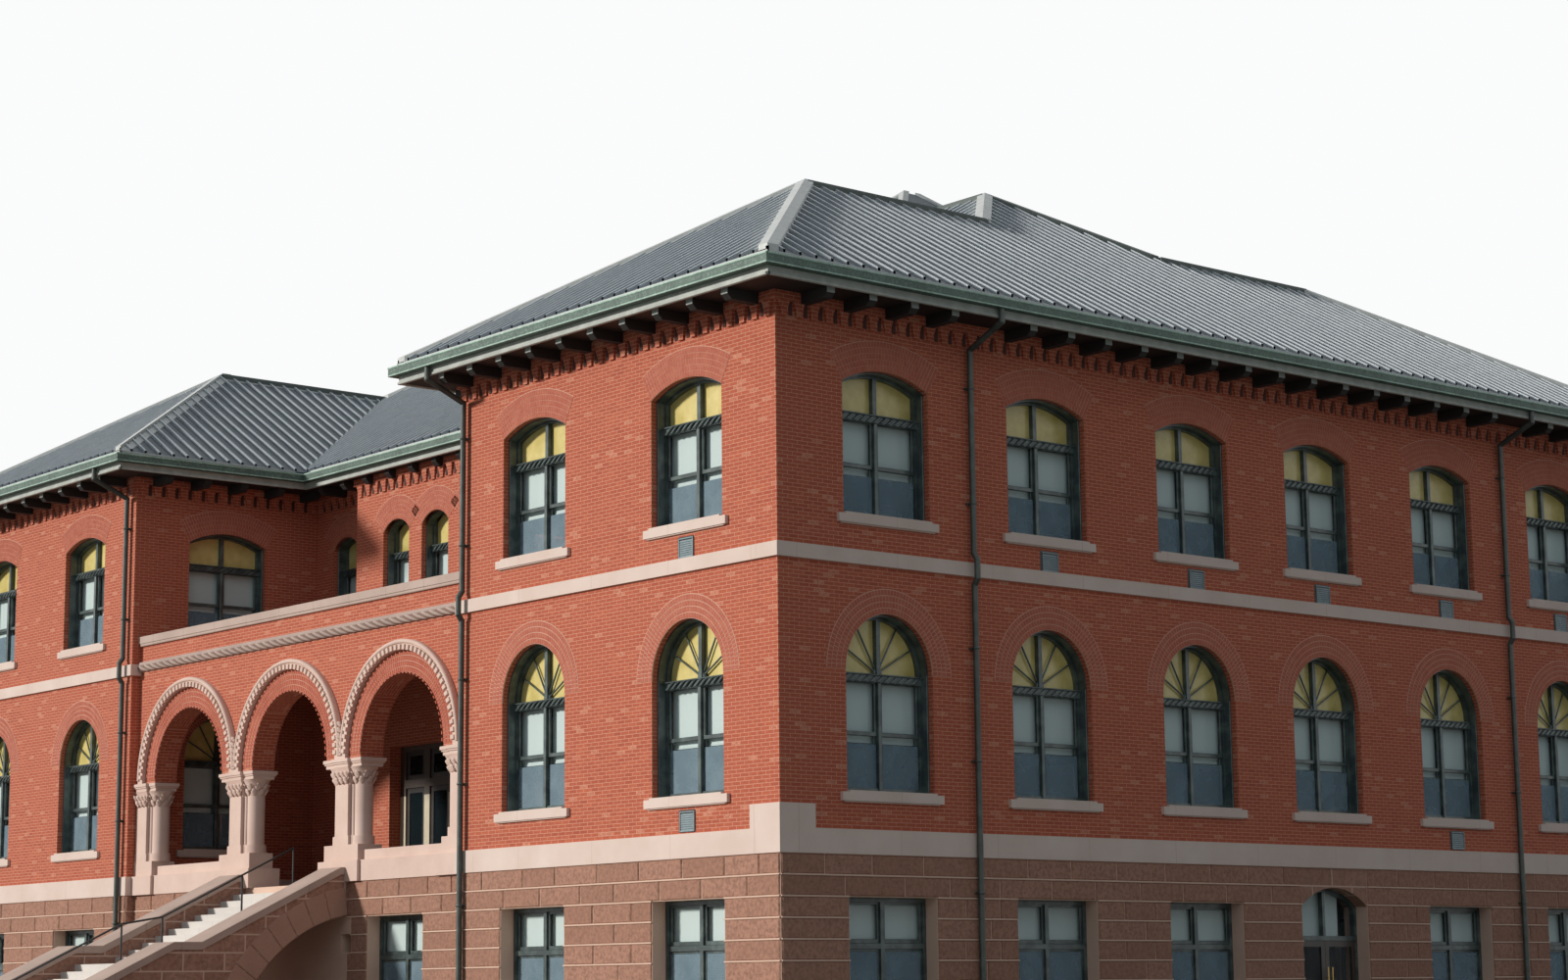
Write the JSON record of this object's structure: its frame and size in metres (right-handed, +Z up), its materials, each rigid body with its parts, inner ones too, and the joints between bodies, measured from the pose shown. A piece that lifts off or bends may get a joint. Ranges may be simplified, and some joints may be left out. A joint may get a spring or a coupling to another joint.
{
  "type": "town hall building",
  "caption": "Two-storey brick town hall over a stone basement, with a hipped metal roof, an arched porch between two wings and a broad front stair.",
  "frame": {"origin": "ground level, in the middle of the block's plan between its walls", "axes": "+X to the right wing, +Y to the back, +Z up; the entrance court, porch and stair face -Y"},
  "size_m": [34.73, 34.575, 19.42],
  "materials": {
    "basement_stone": "split-faced sandstone blocks with raised joints",
    "brick": "orange-red brick",
    "pale_stone": "dressed pale pink sandstone",
    "porch_stone": "carved pale sandstone",
    "stair_stone": "split-faced sandstone",
    "coping_stone": "dressed sandstone",
    "tread_stone": "pale worn stone",
    "floor_stone": "plain cement floor",
    "window_paint": "dark blue-green paint",
    "window_glass": "clear window glass",
    "roof_sheet": "grey standing-seam sheet",
    "roof_cap_sheet": "pale grey sheet",
    "eaves_wood": "dark painted boards",
    "bracket_wood": "weathered paint",
    "gutter_copper": "green aged copper",
    "pipe_metal": "dark brown paint",
    "entrance_post": "pale paint",
    "entrance_wood": "varnished wood",
    "rail_metal": "black paint",
    "door_frame_paint": "pale paint",
    "door_paint": "dark brown paint",
    "door_glass": "clear door glass"
  },
  "bodies": {
    "building": {"basement_left_wall": "basement_stone", "basement_right_wall": "basement_stone", "side_door_surround": "basement_stone", "basement_wing_end_walls": "basement_stone", "basement_court_walls": "basement_stone", "porch_base_wall": "basement_stone", "lower_side_walls": "brick", "lower_wing_end_walls": "brick", "lower_court_walls": "brick", "upper_side_walls": "brick", "upper_wing_end_walls": "brick", "upper_court_walls": "brick", "porch_arcade": "brick", "corbel_course": "brick", "stone_band": "pale_stone", "corner_stones": "pale_stone", "belt_course": "pale_stone", "window_sills": "pale_stone", "porch_pedestals": "porch_stone", "porch_parapets": "porch_stone", "porch_columns": "porch_stone", "porch_capitals": "porch_stone", "porch_imposts": "porch_stone", "porch_hood_moulds": "porch_stone", "porch_string": "porch_stone", "porch_coping": "porch_stone", "stair_body": "stair_stone", "stair_copings": "coping_stone", "stair_treads": "tread_stone", "basement_floor": "floor_stone", "lower_floor": "floor_stone", "upper_floor": "floor_stone", "attic_floor": "floor_stone", "porch_floor": "floor_stone", "porch_balcony_floor": "floor_stone", "window_frames": "window_paint", "window_glass": "window_glass", "entrance_glass": "window_glass", "main_roof": "roof_sheet", "wing_roofs": "roof_sheet", "roof_vents": "roof_sheet", "roof_caps": "roof_cap_sheet", "eaves_soffit": "eaves_wood", "eaves_fascia": "eaves_wood", "eaves_brackets": "bracket_wood", "gutters": "gutter_copper", "downspouts": "pipe_metal", "entrance_screen": "entrance_post", "entrance_doors": "entrance_wood", "stair_handrail": "rail_metal", "side_door_frame": "door_frame_paint", "side_door_fanlight": "door_glass"},
    "left_leaf": {"side_door_left_leaf": "door_paint", "side_door_left_glass": "door_glass"},
    "right_leaf": {"side_door_right_leaf": "door_paint", "side_door_right_glass": "door_glass"}
  },
  "joints": [
    {"name": "left_leaf_hinge", "type": "hinge", "parent": "building", "child": "left_leaf", "pos_m": [16.056, 0.939, 1.3], "axis": [0, 0, -1], "range_deg": [0, 90]},
    {"name": "right_leaf_hinge", "type": "hinge", "parent": "building", "child": "right_leaf", "pos_m": [16.056, 2.771, 1.3], "axis": [0, 0, 1], "range_deg": [0, 90]}
  ]
}
